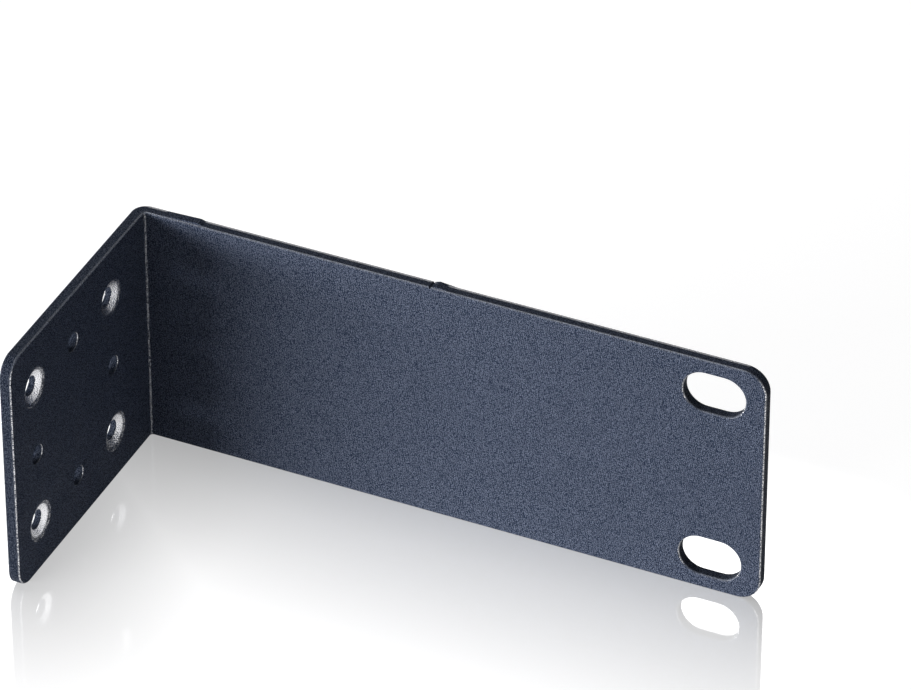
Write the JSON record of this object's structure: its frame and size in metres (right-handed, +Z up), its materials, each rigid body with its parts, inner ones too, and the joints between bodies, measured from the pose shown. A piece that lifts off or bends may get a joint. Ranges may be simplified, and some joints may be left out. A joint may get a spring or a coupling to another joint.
{
  "type": "rack mount ear bracket",
  "caption": "Folded sheet metal ear bracket that screws to the side of rack equipment and fixes it to the rack rail through slots.",
  "frame": {"origin": "centre of the bracket's box, at its lower cut edges", "axes": "+X along the ear from the fold to its free edge, -Y from the ear along the side flange, +Z up along the fold"},
  "size_m": [0.109, 0.0478, 0.0443],
  "materials": {
    "powder_coat": "fine-textured black powder coat over steel sheet, bare metal in the countersinks"
  },
  "bodies": {
    "root": {"ear_bracket": "powder_coat"}
  },
  "joints": []
}
